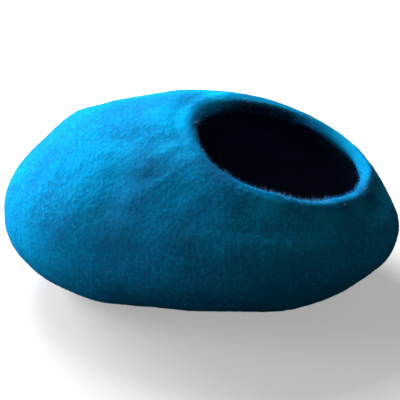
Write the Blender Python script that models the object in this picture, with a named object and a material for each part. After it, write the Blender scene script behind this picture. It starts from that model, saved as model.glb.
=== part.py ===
"""Felt cat cave: one seamless shell of wet-felted wool with a round, tilted mouth.

The shell is felted in one piece over a form and then cut open at the mouth, so the whole
object is a single solid with no seam and no lining. It lies like a long pebble: a rounded
closed end to the left, and the mouth on top, turned towards the right end. It rests on a
flat patch that the soft bottom settles into. X runs along the length, Y is away from the
front, Z is up, and the origin is on the ground in the middle of the footprint.
"""

import bmesh
import bpy
import numpy as np

MM = 0.001

# The outer surface runs through these outlines, from the ground up to the mouth. Each row
# gives where the outline meets the left end, the right end, the front and the back.
# name        left_x left_z right_x right_z front_y front_z back_y back_z
OUTLINES = (
    ("floor",    -168,    0,    152,      0,    -80,      0,   112,     0),
    ("heel",     -198,    8,    180,      8,   -103,      8,   138,     8),
    ("low",      -233,   42,    225,     42,   -149,     37,   172,    38),
    ("belly",    -251,   87,    250,     81,   -184,     80,   190,    84),
    ("high",     -238,  136,    246,    111,   -185,    127,   185,   132),
    ("shoulder", -194,  184,    234,    132,   -160,    158,   162,   172),
    ("crown",    -124,  216,    223,    146,   -136,    176,   134,   193),
    ("collar",    -50,  225,    214,    151,   -123,    180,   118,   200),
    ("mouth",     -15,  218,    206,    145,   -113,    177,   108,   195),
)
# How many rings of faces lie between one outline and the next, outside and inside.
OUTER_RINGS = (2, 4, 4, 4, 5, 6, 6, 3)
INNER_RINGS = (1, 1, 1, 1, 1, 2, 3, 2)
SPOKES = 104

# Felt thickness: the wall, and the mouth's edge, which is rubbed until it is thick and round.
WALL = 8.0
LIP = 14.0
LIP_BLEND = 1.2  # outlines below the mouth over which the wall thickens into the lip
LIP_RINGS = 6
GROUND_ROWS = 2  # rows of faces across the flat underside
FLOOR_ROWS = 6  # rows of faces across the flat inside of the floor

# Uneven places: each follows the line from start to end, in mm, and fades over its width.
# A positive height swells outwards, a negative one is a soft trough.
# name                     start               end                  width height
SWELLS = (
    ("left front corner",  (-176, -92, 30),    (-120, -122, 24),    50,   8.0),
    ("right front corner", (120, -120, 26),    (170, -104, 32),     44,   6.5),
    ("top left corner",    (-178, 30, 196),    (-168, 60, 190),     26,   4.0),
    ("left top flat",      (-206, 0, 174),     (-200, 40, 176),     28,  -3.5),
    ("top saddle",         (-92, 20, 226),     (-84, 70, 222),      34,  -4.5),
    ("shoulder crease",    (-80, -66, 213),    (-84, -150, 162),    15,  -3.0),
    ("thumb dent",         (-67, -117, 192),   (-58, -121, 188),    17,  -3.0),
    ("low dimple",         (-92, -162, 145),   (-106, -149, 152),   15,  -2.5),
    ("ridge by the mouth", (-20, -72, 214),    (-48, -112, 196),    9,    1.6),
    ("ridge below it",     (2, -92, 206),      (-26, -126, 184),    9,    1.4),
    ("left end knuckle",   (-226, -44, 150),   (-222, -62, 146),    14,   2.5),
    ("left low knuckle",   (-228, -66, 72),    (-216, -84, 66),     22,   4.0),
    ("front swell",        (20, -180, 110),    (70, -178, 106),     60,   2.5),
    ("right end hollow",   (238, -20, 126),    (240, 40, 122),      34,  -3.5),
    ("right low bump",     (236, -60, 80),     (232, -90, 76),      26,   4.0),
    ("back trough",        (-60, 176, 140),    (10, 190, 90),       26,  -4.0),
    ("back swell",         (110, 170, 90),     (150, 150, 70),      50,   5.0),
    ("back right dent",    (170, 120, 130),    (190, 96, 140),      26,  -3.0),
)
FLAT_BLEND = 18.0  # the swells fade out over this height above the ground

FELT_COLOUR = (0.012, 0.165, 0.33, 1.0)
FELT_ROUGHNESS = 0.95


def clear_scene():
    for obj in list(bpy.data.objects):
        bpy.data.objects.remove(obj, do_unlink=True)


def outline_at(level):
    """The eight numbers of the outline at a level, where level 0 is the first row."""
    rows = np.array([row[1:] for row in OUTLINES], float)
    padded = np.vstack([2 * rows[0] - rows[1], rows, 2 * rows[-1] - rows[-2]])
    i = min(int(level), len(rows) - 2)
    t = level - i
    a, b, c, d = padded[i : i + 4]
    straight = 2 * b + (c - a) * t
    bend = (2 * a - 5 * b + 4 * c - d) * t**2 + (3 * b - a - 3 * c + d) * t**3
    return (straight + bend) / 2


def ring_at(level):
    """The points of one ring, through the outline's left, right, front and back."""
    left_x, left_z, right_x, right_z, front_y, front_z, back_y, back_z = outline_at(level)
    mid_x, mid_y = (left_x + right_x) / 2, (front_y + back_y) / 2
    left, right = np.array([left_x, mid_y, left_z]), np.array([right_x, mid_y, right_z])
    front, back = np.array([mid_x, front_y, front_z]), np.array([mid_x, back_y, back_z])
    angle = np.linspace(0, 2 * np.pi, SPOKES, endpoint=False)[:, None]
    centre = (left + right + front + back) / 4
    saddle = (left + right - front - back) / 4
    along, across = (right - left) / 2, (back - front) / 2
    return centre + along * np.cos(angle) + across * np.sin(angle) + saddle * np.cos(2 * angle)


def levels(counts):
    """The levels of the rings, with so many steps from each outline to the next."""
    steps = [i + k / n for i, n in enumerate(counts) for k in range(n)]
    return np.array(steps + [len(counts)])


def outward(rings, level):
    """Unit normals of a grid of rings. The lowest ring lies on the ground and faces down."""
    around = np.roll(rings, -1, axis=1) - np.roll(rings, 1, axis=1)
    up = np.gradient(rings, level, axis=0)
    normal = np.cross(around, up)
    normal[0] = (0, 0, -1)
    return normal / np.linalg.norm(normal, axis=2, keepdims=True)


def swell_height(points):
    """How far the uneven places push each point along its normal."""
    height = np.zeros(points.shape[:2])
    for _name, start, end, width, size in SWELLS:
        line = np.subtract(end, start)
        along = np.clip((points - start) @ line / (line @ line), 0, 1)[..., None]
        away = np.linalg.norm(points - start - along * line, axis=2)
        height += size * np.exp(-((away / width) ** 2))
    return height * np.clip(points[..., 2] / FLAT_BLEND, 0, 1)


def outer_surface(level):
    """The outer rings and their normals at these levels."""
    rings = np.array([ring_at(at) for at in level])
    rings = rings + outward(rings, level) * swell_height(rings)[..., None]
    return rings, outward(rings, level)


def thickness_at(level):
    """The felt's thickness, which grows smoothly into the lip."""
    near = np.clip((level - (len(OUTLINES) - 1 - LIP_BLEND)) / LIP_BLEND, 0, 1)
    return WALL + (LIP - WALL) * near**2 * (3 - 2 * near)


def inner_surface():
    """The rings inside, one felt thickness under the outer surface."""
    level = levels(INNER_RINGS)
    fine = levels(OUTER_RINGS)
    rings, normals = outer_surface(fine)
    picked = [int(np.argmin(abs(fine - at))) for at in level]
    depth = np.array([thickness_at(fine[i]) for i in picked])[:, None, None]
    return rings[picked] - normals[picked] * depth


def lip(outer_edge, inner_edge, below):
    """Rings half-way round the mouth's edge, from the outer surface to the inner one."""
    middle = (outer_edge + inner_edge) / 2
    out = (outer_edge - inner_edge) / 2
    radius = np.linalg.norm(out, axis=1, keepdims=True)
    rise = outer_edge - below
    rise -= out * (rise * out).sum(axis=1, keepdims=True) / radius**2
    rise *= radius / np.linalg.norm(rise, axis=1, keepdims=True)
    turns = np.linspace(0, np.pi, LIP_RINGS + 1)[1:-1]
    return [middle + out * np.cos(turn) + rise * np.sin(turn) for turn in turns]


def add_ring(mesh, points):
    return [mesh.verts.new(point * MM) for point in points]


def cover(mesh, ring, rows):
    """Closes a flat ring with a grid of faces that runs from its front to its back."""
    half = SPOKES // 2
    strips = []
    for i in range(1, half):
        near, far = ring[SPOKES - i].co, ring[i].co
        between = [near.lerp(far, k / rows) for k in range(1, rows)]
        strips.append([ring[SPOKES - i], *map(mesh.verts.new, between), ring[i]])
    for one, two in zip(strips, strips[1:]):
        for k in range(rows):
            mesh.faces.new((one[k], two[k], two[k + 1], one[k + 1]))
    for tip, strip in ((ring[0], strips[0]), (ring[half], strips[-1])):
        for k in range(rows):
            mesh.faces.new((tip, strip[k], strip[k + 1]))


def shell_mesh():
    """One closed skin: ground patch, outer rings, lip, inner rings and inner floor."""
    fine = levels(OUTER_RINGS)
    outer, _normals = outer_surface(fine)
    inner = inner_surface()
    edge = lip(outer[-1], inner[-1], outer[-2])
    low, high = outer.min(axis=(0, 1)), outer.max(axis=(0, 1))
    centre = np.array([(low[0] + high[0]) / 2, (low[1] + high[1]) / 2, 0])
    mesh = bmesh.new()
    rings = [add_ring(mesh, ring - centre) for ring in (*outer, *edge, *inner[::-1])]
    for ring, following in zip(rings, rings[1:]):
        for k in range(SPOKES):
            n = (k + 1) % SPOKES
            mesh.faces.new((ring[k], ring[n], following[n], following[k]))
    cover(mesh, rings[0], GROUND_ROWS)
    cover(mesh, rings[-1], FLOOR_ROWS)
    bmesh.ops.recalc_face_normals(mesh, faces=mesh.faces)
    return mesh


def felt_material():
    material = bpy.data.materials.new("wool_felt")
    material.use_nodes = True
    surface = material.node_tree.nodes["Principled BSDF"]
    surface.inputs["Base Color"].default_value = FELT_COLOUR
    surface.inputs["Roughness"].default_value = FELT_ROUGHNESS
    surface.inputs["Metallic"].default_value = 0.0
    material.diffuse_color = FELT_COLOUR
    return material


def build_shell():
    data = bpy.data.meshes.new("felt_shell")
    mesh = shell_mesh()
    mesh.to_mesh(data)
    mesh.free()
    data.materials.append(felt_material())
    data.shade_smooth()
    shell = bpy.data.objects.new("felt_shell", data)
    bpy.context.scene.collection.objects.link(shell)
    return shell


clear_scene()
build_shell()
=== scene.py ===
# %% [markdown]
# # Felt cat cave
# A cave like this is one thick skin of wool. The maker lays loose blue wool round a flat form,
# wets and rubs it until it shrinks into cloth, cuts the mouth open, and pulls the wet felt into a
# pebble. The solid model already has that form. This lesson gives it a felt surface: first the
# lumps and pebbles of the felt, then its colour, then the loose fibres that stand on it.

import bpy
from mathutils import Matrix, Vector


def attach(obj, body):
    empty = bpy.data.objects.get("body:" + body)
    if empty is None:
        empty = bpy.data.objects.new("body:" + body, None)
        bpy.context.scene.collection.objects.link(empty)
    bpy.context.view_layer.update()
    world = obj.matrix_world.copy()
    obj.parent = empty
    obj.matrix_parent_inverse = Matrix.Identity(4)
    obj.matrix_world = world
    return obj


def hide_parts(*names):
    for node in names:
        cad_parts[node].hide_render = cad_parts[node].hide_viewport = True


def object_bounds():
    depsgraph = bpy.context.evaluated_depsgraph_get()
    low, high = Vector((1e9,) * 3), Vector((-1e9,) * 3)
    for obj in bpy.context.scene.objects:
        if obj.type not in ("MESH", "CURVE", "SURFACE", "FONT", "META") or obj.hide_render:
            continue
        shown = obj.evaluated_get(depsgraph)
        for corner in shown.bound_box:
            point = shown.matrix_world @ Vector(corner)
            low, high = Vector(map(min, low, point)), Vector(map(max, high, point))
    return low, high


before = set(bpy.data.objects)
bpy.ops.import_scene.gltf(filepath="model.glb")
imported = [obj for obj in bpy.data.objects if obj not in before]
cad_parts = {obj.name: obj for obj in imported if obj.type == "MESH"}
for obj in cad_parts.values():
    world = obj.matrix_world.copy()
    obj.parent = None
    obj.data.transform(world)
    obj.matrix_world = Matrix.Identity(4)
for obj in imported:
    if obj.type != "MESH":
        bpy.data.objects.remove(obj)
CAD_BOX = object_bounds()
print("solid model, in metres:", [round(side, 3) for side in CAD_BOX[1] - CAD_BOX[0]])

# %% [markdown]
# ## Tools for building node trees
# Geometry and material trees are made of the same few moves: add a node, set it up, and join it
# to the nodes before it. Wrapping those moves in small functions keeps each tree short enough to
# read from top to bottom. A value that is itself a socket is linked, and any other value is typed
# in.

# %% Small helpers
import math

import bmesh
import bpy
import numpy as np
from mathutils import Vector

MM = 0.001


def set_inputs(tree, node, inputs):
    """Links each input that is given a socket, and types in the others."""
    for name, value in inputs.items():
        if isinstance(value, bpy.types.NodeSocket):
            tree.links.new(value, node.inputs[name])
        else:
            node.inputs[name].default_value = value


def add_node(tree, kind, inputs=None, **settings):
    """Adds a node with these settings, and links or types in its inputs."""
    made = tree.nodes.new(kind)
    for name, value in settings.items():
        setattr(made, name, value)
    set_inputs(tree, made, inputs or {})
    return made


def maths(tree, operation, *values):
    """One step of arithmetic, as a socket."""
    made = add_node(tree, "ShaderNodeMath", dict(enumerate(values)), operation=operation)
    return made.outputs[0]


def vector_maths(tree, operation, *values, scale=None):
    """One step of vector arithmetic, as a socket."""
    inputs = dict(enumerate(values))
    if scale is not None:
        inputs["Scale"] = scale
    return add_node(tree, "ShaderNodeVectorMath", inputs, operation=operation).outputs[0]


def ramp(tree, value, low, high, to_low=0.0, to_high=1.0):
    """A smooth change from to_low to to_high while the value goes from low to high."""
    made = add_node(
        tree,
        "ShaderNodeMapRange",
        {"Value": value, 1: low, 2: high, 3: to_low, 4: to_high},
        interpolation_type="SMOOTHSTEP",
    )
    return made.outputs[0]


def band(tree, value, rise, fall, least=0.0):
    """Rises from 0 to 1 between the first two values, and falls again between the others."""
    falling = ramp(tree, value, *fall, 1.0, least)
    return maths(tree, "MULTIPLY", ramp(tree, value, *rise), falling)


def noise(tree, place, size, detail=2.0, roughness=0.5, distortion=0.0):
    """Cloudy noise whose lumps are about this size, from 0 to 1."""
    made = add_node(
        tree,
        "ShaderNodeTexNoise",
        {
            "Vector": place,
            "Scale": 1 / size,
            "Detail": detail,
            "Roughness": roughness,
            "Distortion": distortion,
        },
    )
    return made.outputs["Fac"]


print("one millimetre, in the unit of the frame:", MM)

# %% [markdown]
# ## Camera, floor and light
# The cave was photographed from a little above and slightly from the right, with a long lens. A
# wide lens held closer would also frame it, but would swell the near side. The camera is aimed
# first, because the size of every detail that follows is judged through it.

# %% Aim the camera
SHOT_AZIMUTH, SHOT_ELEVATION = math.radians(8), math.radians(26)
SHOT_DISTANCE = 1.5
SHOT_TARGET = Vector((0, 0, 0.108))
LENS = 107
NEAREST_SEEN = 0.05


def direction(azimuth, elevation):
    """The unit vector from the cave towards a viewer; azimuth 0 is straight in front."""
    flat = math.cos(elevation)
    return Vector((math.sin(azimuth) * flat, -math.cos(azimuth) * flat, math.sin(elevation)))


def place(data, name, azimuth, elevation, distance, target):
    """Puts a camera or a lamp that far from the target, looking at it."""
    thing = bpy.data.objects.new(name, data)
    way = direction(azimuth, elevation)
    thing.location = target + way * distance
    thing.rotation_euler = (-way).to_track_quat("-Z", "Y").to_euler()
    bpy.context.scene.collection.objects.link(thing)
    return thing


camera_data = bpy.data.cameras.new("camera")
camera_data.lens = LENS
camera_data.clip_start = NEAREST_SEEN
camera = place(camera_data, "camera", SHOT_AZIMUTH, SHOT_ELEVATION, SHOT_DISTANCE, SHOT_TARGET)
bpy.context.scene.camera = camera
print("camera at", [round(x, 3) for x in camera.location])

# %% [markdown]
# The light comes from the left and from behind, so the left end and the top are bright, the front
# falls into shade, and the mouth is nearly black inside. One big lamp would do, but the edge of
# its shade would be too soft. So there are three: a high one behind the left end, a low one
# beside it, and a weak one further forward that keeps the left of the front readable. A faint
# warm sky fills the rest, because wool in shade looks greener here than wool in the light. The
# floor looks pale to the camera, but gives back little light, because the underside of the cave
# is dark.

# %% Lay the floor and hang the lamps
FLOOR_SIZE = 12.0
FLOOR_SEEN = 0.52
FLOOR_GIVEN_BACK = 0.09
FLOOR_GLOW = 0.38
# name, azimuth, elevation, distance, size, watts; angles in degrees, lengths in metres
LAMPS = (
    ("key", -145, 40, 2.1, 1.3, 71),
    ("low", -117, 14, 2.1, 1.0, 66),
    ("side", -75, 25, 2.1, 1.3, 20),
)
SKY_COLOUR = (1.0, 0.98, 0.68, 1)
SKY_STRENGTH = 0.10


def make_floor():
    data = bpy.data.meshes.new("floor")
    half = FLOOR_SIZE / 2
    corners = [(-half, -half, 0), (half, -half, 0), (half, half, 0), (-half, half, 0)]
    data.from_pydata(corners, [], [(0, 1, 2, 3)])
    finish = bpy.data.materials.new("floor")
    finish.use_nodes = True
    tree = finish.node_tree
    seen = add_node(tree, "ShaderNodeLightPath").outputs["Is Camera Ray"]
    shade = maths(tree, "MULTIPLY_ADD", seen, FLOOR_SEEN - FLOOR_GIVEN_BACK, FLOOR_GIVEN_BACK)
    finish_inputs = {
        "Base Color": shade,
        "Roughness": 0.9,
        "Specular IOR Level": 0.0,
        "Emission Color": (1, 1, 1, 1),
        "Emission Strength": maths(tree, "MULTIPLY", seen, FLOOR_GLOW),
    }
    set_inputs(tree, tree.nodes["Principled BSDF"], finish_inputs)
    data.materials.append(finish)
    floor = bpy.data.objects.new("floor", data)
    bpy.context.scene.collection.objects.link(floor)
    return floor


def hang_lamp(name, azimuth, elevation, distance, size, watts):
    lamp = bpy.data.lights.new(name, "AREA")
    lamp.shape = "DISK"
    lamp.size = size
    lamp.energy = watts
    return place(lamp, name, math.radians(azimuth), math.radians(elevation), distance, SHOT_TARGET)


floor = make_floor()
for row in LAMPS:
    hang_lamp(*row)
world = bpy.data.worlds.new("studio")
world.use_nodes = True
sky = {"Color": SKY_COLOUR, "Strength": SKY_STRENGTH}
set_inputs(world.node_tree, world.node_tree.nodes["Background"], sky)
bpy.context.scene.world = world
bpy.context.scene.view_settings.view_transform = "Standard"
print("lamps:", ", ".join(row[0] for row in LAMPS))

# %% [markdown]
# ## The form of the skin
# Felt has no corners, so the facets of the solid are rounded away. Its triangles are loose, so a
# copy is welded and its triangles are paired into quads, because Subdivision Surface turns quads
# into an even, smooth net. A remesh would do it too, but would blur the mouth's edge.

# %% Weld a copy of the solid and round it
ROUNDING = 2
WELD_DISTANCE = 0.01 * MM


def welded_copy(node):
    """A copy of a solid's mesh with its triangles joined up, in pairs where that can be."""
    mesh = bmesh.new()
    mesh.from_mesh(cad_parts[node].data)
    bmesh.ops.remove_doubles(mesh, verts=mesh.verts, dist=WELD_DISTANCE)
    bmesh.ops.join_triangles(
        mesh, faces=mesh.faces, angle_face_threshold=math.pi, angle_shape_threshold=math.pi
    )
    data = bpy.data.meshes.new("welded")
    mesh.to_mesh(data)
    mesh.free()
    return data


def plain_mesh(holder, name):
    """The mesh that an object's modifiers make. The object itself is then removed."""
    graph = bpy.context.evaluated_depsgraph_get()
    data = bpy.data.meshes.new_from_object(
        holder.evaluated_get(graph), preserve_all_data_layers=True, depsgraph=graph
    )
    data.name = name
    bpy.data.objects.remove(holder)
    return data


def holder_of(data):
    holder = bpy.data.objects.new("holder", data)
    bpy.context.scene.collection.objects.link(holder)
    return holder


def rounded(data):
    holder = holder_of(data)
    finer = holder.modifiers.new("Round", "SUBSURF")
    finer.levels = finer.render_levels = ROUNDING
    return plain_mesh(holder, "rounded")


form = rounded(welded_copy("felt_shell"))
print("rounded skin:", len(form.polygons), "faces")

# %% [markdown]
# ## Knowing where the mouth is
# Much of the felt changes near the mouth: its edge is rubbed smooth, ripples run towards it, and
# painted shade makes the wool inside dark. So each point of the skin is told how far it lies past
# the mouth's edge. The edge is where the skin turns over, from facing away from the middle of the
# cave to facing it. Two attributes hold the answer, and the geometry and material trees both read
# them.

# %% Measure each point against the mouth
CORE = np.array([(-0.11, 0, 0.11), (0.11, 0, 0.10)])  # the line down the middle of the cave
CHUNKS = 64  # distances are worked out in so many parts, to save memory
ALMOST_NOTHING = 1e-9  # keeps the middle of the mouth from being divided by zero


def read(items, field):
    """A field of three numbers for each item, as an array."""
    flat = np.empty(len(items) * 3, np.float32)
    items.foreach_get(field, flat)
    return flat.reshape(-1, 3).astype(float)


def faces_core(points, normals):
    """True where the skin faces the line down the middle of the cave."""
    start, line = CORE[0], CORE[1] - CORE[0]
    along = np.clip((points - start) @ line / (line @ line), 0, 1)[:, None]
    return ((start + along * line - points) * normals).sum(axis=1) > 0


def nearest_distance(points, targets):
    """How far each point is from the nearest target."""
    chunks = np.array_split(points, CHUNKS)
    return np.concatenate(
        [np.sqrt(((c[:, None] - targets) ** 2).sum(axis=2).min(axis=1)) for c in chunks]
    )


def add_attribute(data, name, kind, values):
    field = "value" if kind == "FLOAT" else "vector"
    layer = data.attributes.new(name, kind, "POINT")
    layer.data.foreach_set(field, np.ascontiguousarray(values, np.float32).ravel())


points, normals = read(form.vertices, "co"), read(form.vertex_normals, "vector")
inward = faces_core(points, normals)
ends = np.empty(len(form.edges) * 2, np.int32)
form.edges.foreach_get("vertices", ends)
ends = ends.reshape(-1, 2)
turning = ends[inward[ends[:, 0]] != inward[ends[:, 1]]]
edge_line = points[turning].mean(axis=1)
past_edge = nearest_distance(points, edge_line) * np.where(inward, 1, -1)

centre = (edge_line.min(axis=0) + edge_line.max(axis=0)) / 2
_sizes, axes = np.linalg.eigh(np.cov((edge_line - centre).T))
upward = axes[:, 0] * np.sign(axes[2, 0])
to_right = np.cross((0, 1, 0), upward)
to_right /= np.linalg.norm(to_right)
to_back = np.cross(upward, to_right)
way = np.stack([(points - centre) @ to_right, (points - centre) @ to_back], axis=1)
way /= np.linalg.norm(way, axis=1, keepdims=True) + ALMOST_NOTHING
add_attribute(form, "past_edge", "FLOAT", past_edge)
add_attribute(form, "mouth_way", "FLOAT_VECTOR", np.column_stack([way, past_edge]))
print("mouth's edge: middle", centre.round(3), "points", len(edge_line))
for name, axis in (("left to right", to_right), ("front to back", to_back)):
    print(f"mouth {name}: {np.ptp((edge_line - centre) @ axis):.3f} m")

# %% [markdown]
# ## Tools for geometry trees
# Geometry Nodes make both the skin and the fibres. Each tree has named inputs and ends in real
# geometry with its material, and it is turned into a plain mesh at once. Sculpting by hand could
# give the same forms, but in a tree every rule of the surface can be read and changed.

# %% More small helpers
def new_tree(name, inputs):
    """An empty geometry tree with these inputs: a kind and a value for each name."""
    tree = bpy.data.node_groups.new(name, "GeometryNodeTree")
    tree.interface.new_socket("Geometry", in_out="INPUT", socket_type="NodeSocketGeometry")
    for label, (kind, _value) in inputs.items():
        tree.interface.new_socket(label, in_out="INPUT", socket_type="NodeSocket" + kind)
    tree.interface.new_socket("Geometry", in_out="OUTPUT", socket_type="NodeSocketGeometry")
    return tree, add_node(tree, "NodeGroupInput").outputs


def attribute(tree, name, kind="FLOAT"):
    made = add_node(tree, "GeometryNodeInputNamedAttribute", {"Name": name}, data_type=kind)
    return made.outputs[0]


def close_tree(tree, geometry, material):
    """Ends a tree in real geometry with its material."""
    real = add_node(tree, "GeometryNodeRealizeInstances", {"Geometry": geometry})
    dressed = add_node(
        tree, "GeometryNodeSetMaterial", {"Geometry": real.outputs[0], "Material": material}
    )
    add_node(tree, "NodeGroupOutput", {"Geometry": dressed.outputs[0]})


def run_tree(tree, data, inputs, name):
    """A new piece: the plain mesh that the tree makes of this mesh with these inputs."""
    holder = holder_of(data)
    modifier = holder.modifiers.new("Nodes", "NODES")
    modifier.node_group = tree
    for item in tree.interface.items_tree:
        if item.in_out == "INPUT" and item.name in inputs:
            modifier[item.identifier] = inputs[item.name][1]
    piece = holder_of(plain_mesh(holder, name))
    piece.name = name
    return piece


def triangle_count(piece):
    return sum(len(face.vertices) - 2 for face in piece.data.polygons)


def centred(tree, value):
    """Noise from 0 to 1, made to go from about -1 to 1."""
    return maths(tree, "MULTIPLY_ADD", value, 2.0, -1.0)


print("faces that the trees will work on:", len(form.polygons))

# %% [markdown]
# ## Sides of the mouth
# The hands that open a mouth leave its edge different on every side. So each side has a name and
# a way to it from the middle of the mouth: x to the right, y to the back. A rule then rises to
# full strength on its own side only. A painted mask could say the same, but not in words.

# %% Name the sides of the mouth
LEFT = (-0.97, 0.1)
FAR_LEFT = (-0.62, 0.78)
BACK = (-0.3, 0.95)
FAR_RIGHT = (0.9, 0.44)
RIGHT = (0.95, -0.3)
RIGHT_END = (0.93, -0.37)
CORNER = (0.85, -0.53)
NEAR_RIGHT = (0.8, -0.6)
NEAR_LEFT = (-0.6, -0.8)


def towards(tree, mouth_way, side, low, high):
    """Rises to 1 on this side of the mouth."""
    dot = add_node(
        tree, "ShaderNodeVectorMath", {0: mouth_way, 1: (*side, 0)}, operation="DOT_PRODUCT"
    )
    return ramp(tree, dot.outputs["Value"], low, high)


def fanned(tree, parts, around, per_metre):
    """Where to read noise that runs in towards the mouth, from the parts of mouth_way."""
    made = add_node(
        tree,
        "ShaderNodeCombineXYZ",
        {
            "X": maths(tree, "MULTIPLY", parts["X"], around),
            "Y": maths(tree, "MULTIPLY", parts["Y"], around),
            "Z": maths(tree, "MULTIPLY", parts["Z"], per_metre),
        },
    )
    return made.outputs[0]


for name, (x, y) in (("left", LEFT), ("back", BACK), ("near right", NEAR_RIGHT)):
    print(f"{name}: {math.degrees(math.atan2(y, x)):.0f} degrees round from the right")

# %% [markdown]
# ## The felt's surface
# Wool shrinks unevenly while it is rubbed. It leaves broad hand-wide swells, thumb-sized lumps,
# and all over them pebbles of a few millimetres, like orange peel, which are a little longer from
# front to back. Left of the mouth, where the felt was pulled to size, small ripples run in
# towards the edge. All of this follows rules, so noise makes it, and each rule has a height of
# its own. The ground patch and the rubbed edge stay smoother.

# %% Raise swells, lumps, pebbles and ripples
PULLED = (1, 0.65, 1)  # makes pebbles longer from front to back, the way the felt was pulled
RIPPLES_PER_METRE = 44.0


def wool_relief(tree, given, past, mouth_way):
    """How far the wool stands out, by noise alone."""
    spot = add_node(tree, "GeometryNodeInputPosition").outputs[0]
    height = add_node(tree, "ShaderNodeSeparateXYZ", {0: spot}).outputs["Z"]
    outside = ramp(tree, past, -14 * MM, -2 * MM, 1.0, 0.25)
    off_ground = ramp(tree, height, 1 * MM, 14 * MM)

    def layer(size_name, height_name, detail, distortion=0.0, pulled=spot):
        size = maths(tree, "DIVIDE", 1.0, given[size_name])
        lump = add_node(
            tree,
            "ShaderNodeTexNoise",
            {"Vector": pulled, "Scale": size, "Detail": detail, "Distortion": distortion},
        )
        return maths(tree, "MULTIPLY", centred(tree, lump.outputs["Fac"]), given[height_name])

    swell = layer("Swell size", "Swell height", 1.0)
    lump = layer("Lump size", "Lump height", 1.0)
    pulled = vector_maths(tree, "MULTIPLY", spot, PULLED)
    pebble = layer("Pebble size", "Pebble height", 1.0, 0.2, pulled)
    pebble = maths(tree, "MULTIPLY", pebble, outside)

    parts = add_node(tree, "ShaderNodeSeparateXYZ", {0: mouth_way}).outputs
    fan = fanned(tree, parts, given["Ripples"], RIPPLES_PER_METRE)
    waves = centred(tree, noise(tree, fan, 1.0, 1.0, distortion=0.3))
    near = band(tree, past, (-115 * MM, -45 * MM), (-32 * MM, -10 * MM), 0.15)
    left = ramp(tree, parts["X"], -0.5, 0.2, 1.0, 0.1)
    front = ramp(tree, parts["Y"], -0.55, 0.0, 1.0, 0.1)
    where = maths(tree, "MULTIPLY", near, maths(tree, "MULTIPLY", left, front))
    ripple = maths(tree, "MULTIPLY", waves, given["Ripple height"])
    ripple = maths(tree, "MULTIPLY", ripple, where)
    total = maths(tree, "ADD", maths(tree, "ADD", swell, lump), maths(tree, "ADD", pebble, ripple))
    return maths(tree, "MULTIPLY", total, off_ground)


print("pebbles are", round(PULLED[0] / PULLED[1], 2), "times as long as they are wide")

# %% [markdown]
# Hands shape the mouth's edge itself. It is rolled thick at the near right, with a hollow under
# the roll, full at the left shoulder, and drawn in at the right end. The solid could carry these
# forms, but they are soft and only a few millimetres high. So each is a band along the edge that
# fades away from its own side.

# %% Shape the edge of the mouth
def edge_relief(tree, given, past, mouth_way, total):
    """Adds the forms of the edge to how far the wool stands out."""
    edge = band(tree, past, (-7 * MM, 5 * MM), (12 * MM, 24 * MM))
    near_right = towards(tree, mouth_way, NEAR_RIGHT, 0.1, 0.8)
    corner = towards(tree, mouth_way, CORNER, 0.75, 1.0)
    thinner = towards(tree, mouth_way, NEAR_LEFT, 0.8, 0.97)
    fuller = maths(tree, "MULTIPLY_ADD", corner, 0.6, near_right)
    fuller = maths(tree, "MULTIPLY_ADD", thinner, -1.3, fuller)
    thick = maths(tree, "MULTIPLY", edge, fuller)
    total = maths(tree, "MULTIPLY_ADD", thick, given["Edge thickening"], total)

    shoulder = band(tree, past, (-24 * MM, -8 * MM), (6 * MM, 18 * MM))
    shoulder = maths(tree, "MULTIPLY", shoulder, towards(tree, mouth_way, LEFT, 0.5, 0.9))
    total = maths(tree, "MULTIPLY_ADD", shoulder, given["Shoulder at the left"], total)

    inner = band(tree, past, (-5 * MM, 5 * MM), (14 * MM, 26 * MM))
    inner = maths(tree, "MULTIPLY", inner, towards(tree, mouth_way, FAR_LEFT, 0.6, 0.9))
    total = maths(tree, "MULTIPLY_ADD", inner, given["Thickness at the far left"], total)

    under = band(tree, past, (-58 * MM, -14 * MM), (-11 * MM, -1 * MM))
    right = towards(tree, mouth_way, RIGHT, 0.7, 0.95)
    hollow = maths(tree, "MULTIPLY", under, maths(tree, "MULTIPLY_ADD", right, 0.7, near_right))
    return maths(tree, "MULTIPLY_ADD", hollow, given["Hollow under the edge"], total)


def pull_in(tree, given, past, mouth_way):
    """How far the right end of the edge is drawn sideways."""
    rim = band(tree, past, (-22 * MM, -4 * MM), (16 * MM, 34 * MM))
    pull = maths(tree, "MULTIPLY", rim, towards(tree, mouth_way, RIGHT_END, 0.8, 0.97))
    pull = maths(tree, "MULTIPLY", pull, given["Pulled in at the right"])
    return add_node(tree, "ShaderNodeCombineXYZ", {"X": pull}).outputs[0]


def surface_tree(inputs):
    """Pushes the skin in and out along its normals."""
    tree, given = new_tree("felt surface", inputs)
    past = attribute(tree, "past_edge")
    mouth_way = attribute(tree, "mouth_way", "FLOAT_VECTOR")
    total = wool_relief(tree, given, past, mouth_way)
    total = edge_relief(tree, given, past, mouth_way, total)
    outwards = add_node(tree, "GeometryNodeInputNormal").outputs[0]
    outwards = vector_maths(tree, "SCALE", outwards, scale=total)
    offset = vector_maths(tree, "ADD", outwards, pull_in(tree, given, past, mouth_way))
    pushed = add_node(
        tree, "GeometryNodeSetPosition", {"Geometry": given["Geometry"], "Offset": offset}
    )
    close_tree(tree, pushed.outputs[0], given["Felt"])
    return tree


print("points on the edge that these forms follow:", len(edge_line))
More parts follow.
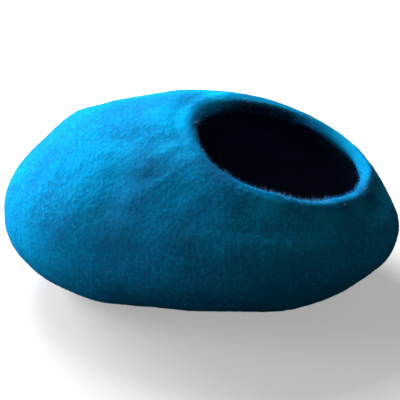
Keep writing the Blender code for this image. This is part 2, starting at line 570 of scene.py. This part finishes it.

# %% [markdown]
# ## The colour of the felt
# The wool is one turquoise blue, but hand-laid wool is never even, and each part of the cave
# needs a few blues of its own. They are named here, and the loose fibres get theirs later. All of
# the colour is mixed from noise on the object's own coordinates and from the mouth attributes, so
# it holds still from any side. A picture wrapped round the cave would show its seams.

# %% Choose the wools
# painted shade in the pits between pebbles
PIT_SHADE_BLUE = (0.010, 0.205, 0.48, 1)
MIDDLE_BLUE = (0.006, 0.214, 0.555, 1)
FELT_BLUE = (0.003, 0.284, 0.655, 1)
PALE_BLUE = (0.003, 0.46, 0.82, 1)
# painted highlight along the mouth's edge
EDGE_HIGHLIGHT_BLUE = (0.004, 0.43, 0.88, 1)
# painted shade inside the mouth: the first nearest the edge, the second deeper in
MOUTH_SHADE_NAVY = (0.010, 0.026, 0.062, 1)
INNER_SHADE_NAVY = (0.050, 0.060, 0.15, 1)
# painted shade, for the patches of shade and the outer side of the edge at the far right
PAINTED_SHADE_BLUE = (0.008, 0.135, 0.33, 1)
# painted light and painted highlight, for the patches of light
PAINTED_LIGHT_BLUE = (0.003, 0.39, 0.85, 1)
PAINTED_HIGHLIGHT_BLUE = (0.006, 0.52, 1.0, 1)
SHEEN_TINT = (0.02, 0.50, 0.95, 1)


def mix(tree, amount, one, two):
    """One colour where the amount is 0, the other where it is 1."""
    made = add_node(
        tree, "ShaderNodeMix", {0: amount, 6: one, 7: two}, data_type="RGBA", clamp_factor=True
    )
    return made.outputs[2]


print("green to blue in the main wool:", round(FELT_BLUE[1] / FELT_BLUE[2], 2))

# %% [markdown]
# Broad patches of the wool differ a little. The pits between pebbles are painted darker, a painted
# shade, and the tops of the pebbles are painted lighter, a painted highlight, with single lighter
# fibres of the grain among them. Near the mouth, where the felt was pulled, pale streaks run in
# towards the edge. The same fine noise that colours the wool also makes its bump, so light and
# colour agree.

# %% Mix the plain wool
FIBRE_LIE = (1, 0.7, 0.45)  # fibres lie mostly up and down, and a little from front to back
STREAKS_AROUND = 42.0
STREAKS_PER_METRE = 45.0


def fine_noise(tree, spot):
    """The pebbles and the grain of single fibres."""
    pulled = vector_maths(tree, "MULTIPLY", spot, PULLED)
    combed = vector_maths(tree, "MULTIPLY", spot, FIBRE_LIE)
    pebbles = noise(tree, pulled, 4.4 * MM, 2.0, 0.55, 0.0)
    return pebbles, noise(tree, combed, 1.9 * MM, 2.0, 0.6, 0.4)


def plain_wool(tree, spot, pebbles, grain):
    patches = ramp(tree, noise(tree, spot, 45 * MM, 3.0), 0.35, 0.65)
    colour = mix(tree, patches, MIDDLE_BLUE, FELT_BLUE)
    # painted shade: the pits between pebbles darker
    colour = mix(tree, ramp(tree, pebbles, 0.30, 0.60, 0.55, 0.0), colour, PIT_SHADE_BLUE)
    # painted highlight: the tops of pebbles lighter, with lighter fibres of the grain
    highlight_tips = maths(tree, "ADD", pebbles, maths(tree, "MULTIPLY", grain, 0.6))
    highlight_tips = maths(tree, "MULTIPLY", ramp(tree, highlight_tips, 0.78, 1.0), 0.5)
    return mix(tree, highlight_tips, colour, PALE_BLUE)


def streaks_to_mouth(tree, past, parts):
    fan = fanned(tree, parts, STREAKS_AROUND, STREAKS_PER_METRE)
    streaks = ramp(tree, noise(tree, fan, 1.0, 3.0, 0.6, 0.5), 0.5, 0.72)
    near = band(tree, past, (-60 * MM, -6 * MM), (-2 * MM, 4 * MM))
    return maths(tree, "MULTIPLY", streaks, near)


print("grain is", round(FIBRE_LIE[0] / FIBRE_LIE[2], 1), "times as tall as it is wide")

# %% [markdown]
# The edge is painted paler, a painted highlight where the lip faces the light, and its outer side
# at the far right is painted darker, a painted shade. Past the edge, painted shade turns the wool
# near
# black: a navy that is darkest near the mouth, where light still falls on it. How deep the light
# blue reaches differs from side to side, as light falls further in on some sides, so the border
# follows the named sides.

# %% Paint light and shade on the edge and the inside
def edge_light_and_shade(tree, colour, past, mouth_way, pebbles, grain):
    """The painted highlight along the edge, and painted shade on its outer side at the far right.
    """
    right = towards(tree, mouth_way, RIGHT, 0.7, 0.95)
    narrower = maths(tree, "SUBTRACT", past, maths(tree, "MULTIPLY", right, 6 * MM))
    # painted highlight: the edge painted paler, over a narrower band at the right
    edge_highlight = maths(
        tree,
        "MULTIPLY",
        ramp(tree, narrower, -11 * MM, -1 * MM),
        ramp(tree, past, 14 * MM, 22 * MM, 1.0, 0.0),
    )
    edge_highlight = maths(tree, "MULTIPLY", edge_highlight, ramp(tree, grain, 0.35, 0.65, 0.55, 1.0))
    edge_highlight = maths(tree, "MULTIPLY", edge_highlight, ramp(tree, pebbles, 0.38, 0.58, 0.8, 1.0))
    colour = mix(tree, edge_highlight, colour, EDGE_HIGHLIGHT_BLUE)
    # painted shade on the outer side of the edge at the far right
    outer_shade = band(tree, past, (-12 * MM, -5 * MM), (-3 * MM, 1 * MM))
    outer_shade = maths(tree, "MULTIPLY", outer_shade, towards(tree, mouth_way, FAR_RIGHT, 0.7, 0.93))
    return mix(tree, outer_shade, colour, PAINTED_SHADE_BLUE)


def inside_shade_colour(tree, colour, past, mouth_way, parts):
    """Paints shade past the edge: the wool turns dark, deeper on some sides than on others."""
    back = towards(tree, mouth_way, BACK, 0.7, 0.97)
    corner = towards(tree, mouth_way, CORNER, 0.75, 1.0)
    deeper = ramp(tree, parts["X"], -0.2, 0.9, -17 * MM, 4 * MM)
    deeper = maths(tree, "MULTIPLY_ADD", back, -2 * MM, deeper)
    deeper = maths(tree, "MULTIPLY_ADD", corner, 5 * MM, deeper)
    all_shaded = maths(tree, "MULTIPLY_ADD", back, -6 * MM, 31 * MM)
    inside = ramp(tree, maths(tree, "SUBTRACT", past, deeper), 13 * MM, all_shaded)
    # painted shade: navy inside the mouth, darkest near the mouth, where light still falls on it
    dark = mix(tree, ramp(tree, past, 30 * MM, 90 * MM), MOUTH_SHADE_NAVY, INNER_SHADE_NAVY)
    return mix(tree, inside, colour, dark)


print("points of the skin past the edge:", int((past_edge > 0).sum()))

# %% [markdown]
# Here and there light is painted on as a lighter blue, and shade as a darker one: patches of
# painted light and painted shade. Noise alone would put those anywhere, so each has a place of its
# own: how far along the cave it lies and how far round. The point itself is found on the shell, by
# looking in from outside. Each patch is a soft round spot with a wandering border.

# %% Paint the patches of light and shade
AXIS_HEIGHT = 100 * MM  # the line that turns are measured round
BORDER_WANDER = 36 * MM
FULL_PART = 0.2  # the share of its reach over which a painted patch has its full strength
# painted light and shade patches: along the cave (-1 is the left end, 1 the right end), turn in
# degrees (0 is the front, 90 the top, 180 the back), reach in millimetres, strength, painted colour
PAINTED_LIGHT_AND_SHADE = (
    (-0.30, 100, 90, 0.3, PAINTED_SHADE_BLUE),
    (-0.75, 65, 55, 0.3, PAINTED_SHADE_BLUE),
    (-0.10, 85, 55, 0.95, PAINTED_LIGHT_BLUE),
    (0.15, 45, 40, 1.0, PAINTED_SHADE_BLUE),
    (-0.20, 40, 60, 0.7, PAINTED_SHADE_BLUE),
    (-0.30, 15, 45, 0.7, PAINTED_SHADE_BLUE),
    (-0.45, 40, 70, 0.75, PAINTED_LIGHT_BLUE),
    (-0.75, -5, 65, 0.85, PAINTED_LIGHT_BLUE),
    (-0.85, 95, 55, 0.6, PAINTED_SHADE_BLUE),
    (0.40, 30, 30, 1.0, PAINTED_LIGHT_BLUE),
    (0.65, 30, 40, 0.5, PAINTED_LIGHT_BLUE),
    (0.85, 60, 25, 0.9, PAINTED_SHADE_BLUE),
    (0.05, 125, 30, 0.8, PAINTED_HIGHLIGHT_BLUE),
    (0.70, 140, 40, 1.0, PAINTED_HIGHLIGHT_BLUE),
    (0.00, 30, 35, 0.5, PAINTED_LIGHT_BLUE),
    (0.80, 35, 30, 0.6, PAINTED_LIGHT_BLUE),
    (0.00, 15, 35, 0.55, PAINTED_SHADE_BLUE),
    (-0.10, 55, 30, 0.35, PAINTED_HIGHLIGHT_BLUE),
    (-0.35, 55, 35, 0.3, PAINTED_HIGHLIGHT_BLUE),
)


def on_shell(along, turn):
    """The point on the outside of the shell there, or None where there is only the mouth."""
    half_length = (CAD_BOX[1][0] - CAD_BOX[0][0]) / 2
    axis = Vector((along * half_length, 0, AXIS_HEIGHT))
    outwards = Vector((0, -math.cos(math.radians(turn)), math.sin(math.radians(turn))))
    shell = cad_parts["felt_shell"]
    hit, spot, _normal, _face = shell.ray_cast(axis + outwards, -outwards)
    return spot if hit and (spot - axis).dot(outwards) > 0 else None


def paint_light_and_shade(tree, colour, spot):
    wander = noise(tree, spot, 30 * MM, 2.0)
    wander = maths(tree, "MULTIPLY_ADD", wander, BORDER_WANDER, -BORDER_WANDER / 2)
    for along, turn, reach, strength, wool in PAINTED_LIGHT_AND_SHADE:
        middle = on_shell(along, turn)
        if middle is None:
            print(f"no tuft {along} along at {turn} degrees: only the mouth is there")
            continue
        away = add_node(tree, "ShaderNodeVectorMath", {0: spot, 1: middle}, operation="DISTANCE")
        away = maths(tree, "ADD", away.outputs["Value"], wander)
        # painted light and shade: the patch's blue is mixed in, at full strength near its middle
        patch_share = ramp(tree, away, FULL_PART * reach * MM, reach * MM, strength, 0.0)
        colour = mix(tree, patch_share, colour, wool)
    return colour


first_painted_patch = on_shell(*PAINTED_LIGHT_AND_SHADE[0][:2])
print("tufts:", len(PAINTED_LIGHT_AND_SHADE), "and the first is at", [round(x, 3) for x in first_painted_patch])

# %% [markdown]
# The layers are now put together, from the plain wool outwards. Felt scatters nearly all light,
# so it is rough and hardly shines. The standing fibres on it give a faint blue sheen where it
# turns away from the eye. The grain is too fine to be geometry, so it is bump.

# %% Put the felt material together
FELT_FINISH = {
    "Roughness": 0.96,
    "IOR": 1.1,
    "Specular IOR Level": 0.01,
    "Sheen Weight": 0.12,
    "Sheen Roughness": 0.5,
    "Sheen Tint": SHEEN_TINT,
}
BUMP_HEIGHT = 0.9 * MM


def fine_relief(tree, past, pebbles, grain, streaks):
    relief = maths(tree, "ADD", pebbles, maths(tree, "MULTIPLY", grain, 0.22))
    relief = maths(tree, "MULTIPLY", relief, ramp(tree, past, -10 * MM, -2 * MM, 1.0, 0.95))
    relief = maths(tree, "ADD", relief, maths(tree, "MULTIPLY", streaks, 0.15))
    bump = {"Height": relief, "Strength": 1.0, "Distance": BUMP_HEIGHT}
    return add_node(tree, "ShaderNodeBump", bump).outputs[0]


def felt_material():
    material = bpy.data.materials.new("wool_felt")
    material.use_nodes = True
    tree = material.node_tree
    spot = add_node(tree, "ShaderNodeTexCoord").outputs["Object"]
    past = add_node(tree, "ShaderNodeAttribute", attribute_name="past_edge").outputs["Fac"]
    mouth_way = add_node(tree, "ShaderNodeAttribute", attribute_name="mouth_way").outputs["Vector"]
    parts = add_node(tree, "ShaderNodeSeparateXYZ", {0: mouth_way}).outputs
    pebbles, grain = fine_noise(tree, spot)
    streaks = streaks_to_mouth(tree, past, parts)

    colour = plain_wool(tree, spot, pebbles, grain)
    colour = mix(tree, maths(tree, "MULTIPLY", streaks, 0.25), colour, PALE_BLUE)
    colour = edge_light_and_shade(tree, colour, past, mouth_way, pebbles, grain)
    colour = paint_light_and_shade(tree, colour, spot)
    colour = inside_shade_colour(tree, colour, past, mouth_way, parts)
    bump = fine_relief(tree, past, pebbles, grain, streaks)
    finish = {"Base Color": colour, "Normal": bump, **FELT_FINISH}
    set_inputs(tree, tree.nodes["Principled BSDF"], finish)
    return material


felt = felt_material()
print("felt material:", len(felt.node_tree.nodes), "nodes")

# %% [markdown]
# Now the skin can be made. Its heights are the inputs of the tree, so they can be tried one by
# one. The swells are low and wide and show in the outline. The pebbles are small and steep and
# show in the grain.

# %% Make the skin
SURFACE = {
    "Felt": ("Material", felt),
    "Swell size": ("Float", 95 * MM),
    "Swell height": ("Float", 1.6 * MM),
    "Lump size": ("Float", 28 * MM),
    "Lump height": ("Float", 1.0 * MM),
    "Pebble size": ("Float", 7 * MM),
    "Pebble height": ("Float", 0.45 * MM),
    "Ripples": ("Float", 17.0),
    "Ripple height": ("Float", 0.42 * MM),
    "Edge thickening": ("Float", 4.5 * MM),
    "Hollow under the edge": ("Float", -2.8 * MM),
    "Shoulder at the left": ("Float", 3.5 * MM),
    "Thickness at the far left": ("Float", 3.5 * MM),
    "Pulled in at the right": ("Float", -5.5 * MM),
}
skin = run_tree(surface_tree(SURFACE), form, SURFACE, "felt_skin")
skin.data.shade_smooth()
print("felt skin:", triangle_count(skin), "triangles")

# %% [markdown]
# ## Loose fibres
# Wool never mats completely. Short fibres lie on the felt and stand up along the cut edge, where
# they catch the light, and here and there a longer one has come loose. Most of the pale ones
# stand on the near edge, and few at the far side and the right end. Hair curves would do, but the
# part has to be plain geometry. So one tree makes all fibres, and it begins by growing a straight
# line from each of many scattered points.

# %% Scatter the fibres
def fibre_density(tree, given, spot):
    """Fibres per square metre: a band along the edge, thinner at the far side and the right."""
    height = add_node(tree, "ShaderNodeSeparateXYZ", {0: spot}).outputs["Z"]
    begins = maths(tree, "ADD", given["From"], given["Fade"])
    finishes = maths(tree, "SUBTRACT", given["To"], given["Fade"])
    past = attribute(tree, "past_edge")
    share = band(tree, past, (given["From"], begins), (finishes, given["To"]))
    share = maths(tree, "MULTIPLY", share, ramp(tree, height, 4 * MM, 16 * MM))
    mouth_way = attribute(tree, "mouth_way", "FLOAT_VECTOR")
    way = add_node(tree, "ShaderNodeSeparateXYZ", {0: mouth_way}).outputs
    share = maths(tree, "MULTIPLY", share, ramp(tree, way["Y"], -0.2, 0.5, 1.0, given["Far side"]))
    right = ramp(tree, way["X"], 0.4, 0.8, 1.0, given["Right side"])
    share = maths(tree, "MULTIPLY", share, right)
    return maths(tree, "MULTIPLY", share, given["Per square metre"])


def chance(tree, given, low, high, draw):
    """A random number for each fibre. Every draw has a number, so that no two are the same."""
    seed = maths(tree, "ADD", given["Seed"], draw)
    made = add_node(
        tree, "FunctionNodeRandomValue", {2: low, 3: high, "Seed": seed}, data_type="FLOAT"
    )
    return made.outputs[1]


def turned(tree, rotation, axis, angle):
    """A rotation that is turned further about its own axis."""
    by = add_node(tree, "ShaderNodeCombineXYZ", {axis: angle}).outputs[0]
    made = add_node(
        tree,
        "FunctionNodeRotateRotation",
        {"Rotation": rotation, "Rotate By": by},
        rotation_space="LOCAL",
    )
    return made.outputs[0]


def straight_fibres(tree, given, density):
    """Lines on scattered points of the skin, each with its own lean, length and number."""
    scatter = add_node(
        tree,
        "GeometryNodeDistributePointsOnFaces",
        {"Mesh": given["Geometry"], "Density": density, "Seed": given["Seed"]},
        distribute_method="RANDOM",
    ).outputs
    rotation = scatter["Rotation"]
    rotation = turned(tree, rotation, "Z", chance(tree, given, 0.0, 2 * math.pi, 1))
    lean = chance(tree, given, -1.0, 1.0, 2)
    lean = maths(tree, "MULTIPLY_ADD", lean, given["Lean spread"], given["Lean"])
    rotation = turned(tree, rotation, "X", lean)
    length = maths(tree, "MULTIPLY", chance(tree, given, 0.5, 1.3, 3), given["Length"])
    line = add_node(
        tree, "GeometryNodeCurvePrimitiveLine", {"Start": (0, 0, 0), "End": (0, 0, 1)}
    )
    line = add_node(
        tree, "GeometryNodeResampleCurve", {"Curve": line.outputs[0], "Count": given["Joints"]}
    )
    strands = add_node(
        tree,
        "GeometryNodeInstanceOnPoints",
        {
            "Points": scatter["Points"],
            "Instance": line.outputs[0],
            "Rotation": rotation,
            "Scale": length,
        },
    )
    number = chance(tree, given, 0.0, 1.0, 4)
    tagged = add_node(
        tree,
        "GeometryNodeStoreNamedAttribute",
        {"Geometry": strands.outputs[0], "Name": "strand", "Value": number},
        data_type="FLOAT",
        domain="INSTANCE",
    )
    real = add_node(tree, "GeometryNodeRealizeInstances", {"Geometry": tagged.outputs[0]})
    return real.outputs[0]


print("skin to scatter on:", round(sum(face.area for face in skin.data.polygons), 3), "m2")

# %% [markdown]
# Wool is crimped, so no fibre stays straight. Noise with four dimensions bends them: three are
# the place, and the fourth is the fibre's own number, so that neighbours bend differently. A
# fibre is then given three sides, the fewest that have thickness, and tapers to its tip.

# %% Bend and thicken the fibres
NUMBER_SPREAD = 60.0  # how far apart neighbours read the noise
BENDS_PER_LENGTH = 0.9
FIBRE_SIDES = 3


def bent(tree, given, fibres, spot, along):
    """Bends each fibre, more towards its tip."""
    bends = add_node(
        tree,
        "ShaderNodeTexNoise",
        {
            "Vector": spot,
            "W": maths(tree, "MULTIPLY", attribute(tree, "strand"), NUMBER_SPREAD),
            "Scale": maths(tree, "DIVIDE", BENDS_PER_LENGTH, given["Length"]),
            "Detail": 0.0,
        },
        noise_dimensions="4D",
    ).outputs["Color"]
    bends = vector_maths(tree, "SUBTRACT", bends, (0.5, 0.5, 0.5))
    amount = maths(tree, "MULTIPLY", maths(tree, "MULTIPLY", along, given["Curl"]), given["Length"])
    offset = vector_maths(tree, "SCALE", bends, scale=amount)
    made = add_node(tree, "GeometryNodeSetPosition", {"Geometry": fibres, "Offset": offset})
    return made.outputs[0]


def thickened(tree, given, fibres, along):
    """Gives each fibre its sides and its taper."""
    taper = maths(tree, "MULTIPLY", given["Thickness"], ramp(tree, along, 0.3, 1.0, 0.5, 0.15))
    profile = add_node(
        tree, "GeometryNodeCurvePrimitiveCircle", {"Resolution": FIBRE_SIDES, "Radius": 1.0}
    )
    tube = add_node(
        tree,
        "GeometryNodeCurveToMesh",
        {
            "Curve": fibres,
            "Profile Curve": profile.outputs["Curve"],
            "Scale": taper,
            "Fill Caps": True,
        },
    )
    return tube.outputs[0]


def fibre_tree(inputs):
    tree, given = new_tree("fibres", inputs)
    spot = add_node(tree, "GeometryNodeInputPosition").outputs[0]
    along = add_node(tree, "GeometryNodeSplineParameter").outputs["Factor"]
    fibres = straight_fibres(tree, given, fibre_density(tree, given, spot))
    fibres = bent(tree, given, fibres, spot, along)
    close_tree(tree, thickened(tree, given, fibres, along), given["Wool"])
    return tree


print("triangles between two joints of a fibre:", 2 * FIBRE_SIDES)

# %% [markdown]
# The fibres need a material of their own: the felt's blue, a little lighter, because a single
# fibre lets light through. Each fibre reads its own random number, so no two neighbours match.

# %% Mix the fibre materials
FIBRE_FINISH = {
    "Roughness": 0.8,
    "Specular IOR Level": 0.04,
    "Sheen Weight": 0.1,
    "Sheen Tint": SHEEN_TINT,
}


def fibre_material(name, dark, light):
    material = bpy.data.materials.new(name)
    material.use_nodes = True
    tree = material.node_tree
    strand = add_node(tree, "ShaderNodeAttribute", attribute_name="strand").outputs["Fac"]
    finish = {"Base Color": mix(tree, strand, dark, light), **FIBRE_FINISH}
    set_inputs(tree, tree.nodes["Principled BSDF"], finish)
    return material


blue_fibre = fibre_material("blue_fibre", (0.0006, 0.25, 0.56, 1), (0.006, 0.42, 0.88, 1))
pale_fibre = fibre_material("pale_fibre", (0.12, 0.48, 0.80, 1), (0.48, 0.54, 0.78, 1))
print("fibre materials:", blue_fibre.name, "and", pale_fibre.name)

# %% [markdown]
# Each kind of fibre is the same tree with other sizes, so one table holds them all. Lengths and
# distances past the mouth's edge are in millimetres, and angles in degrees.

# %% Make each kind of fibre
INPUT_KINDS = {
    "Wool": "Material",
    "Per square metre": "Float",
    "From": "Float",
    "To": "Float",
    "Fade": "Float",
    "Length": "Float",
    "Thickness": "Float",
    "Lean": "Float",
    "Lean spread": "Float",
    "Curl": "Float",
    "Far side": "Float",
    "Right side": "Float",
    "Joints": "Int",
    "Seed": "Int",
}
# name, wool, fibres per m2, from, to, fade, length, thickness, lean, spread of lean, curl, share at
# the far side, share at the right, joints, seed
FIBRES = (
    ("body_fuzz", blue_fibre, 26000, -400, -4, 8, 3.8, 0.15, 78, 12, 1.5, 1.0, 1.0, 4, 11),
    ("edge_fuzz", blue_fibre, 250000, -10, 15, 5, 4.2, 0.24, 48, 34, 1.6, 0.25, 1.0, 4, 23),
    ("pale_wisps", pale_fibre, 150000, -5, 12, 4, 4.8, 0.30, 34, 36, 1.8, 0.05, 0.2, 4, 37),
    ("stray_fibres", pale_fibre, 170, -400, -6, 8, 15.0, 0.18, 84, 5, 1.6, 1.0, 1.0, 9, 41),
)


def make_fibres(
    name, wool, count, start, end, fade, length, thick, lean, spread, curl, far, right, joints, seed
):
    values = (
        wool,
        count,
        start * MM,
        end * MM,
        fade * MM,
        length * MM,
        thick * MM,
        math.radians(lean),
        math.radians(spread),
        curl,
        far,
        right,
        joints,
        seed,
    )
    inputs = {
        label: (kind, float(value) if kind == "Float" else value)
        for (label, kind), value in zip(INPUT_KINDS.items(), values)
    }
    fibres = run_tree(fibre_tree(inputs), skin.data, inputs, name)
    fibres.data.shade_smooth()
    print(f"{name}: {triangle_count(fibres)} triangles")
    return fibres


fuzz = [make_fibres(*row) for row in FIBRES]

# %% [markdown]
# ## Handing the pieces over
# Every piece is told what it rides on. The skin stands for the solid shell. It is a sheet of felt,
# stretched into shape while wet. Pressed flat, its two sides laid next to each other would fill
# most of a rectangle of 0.60 m by 0.86 m.

for piece in (skin, *fuzz):
    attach(piece, "root")
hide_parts("felt_shell")
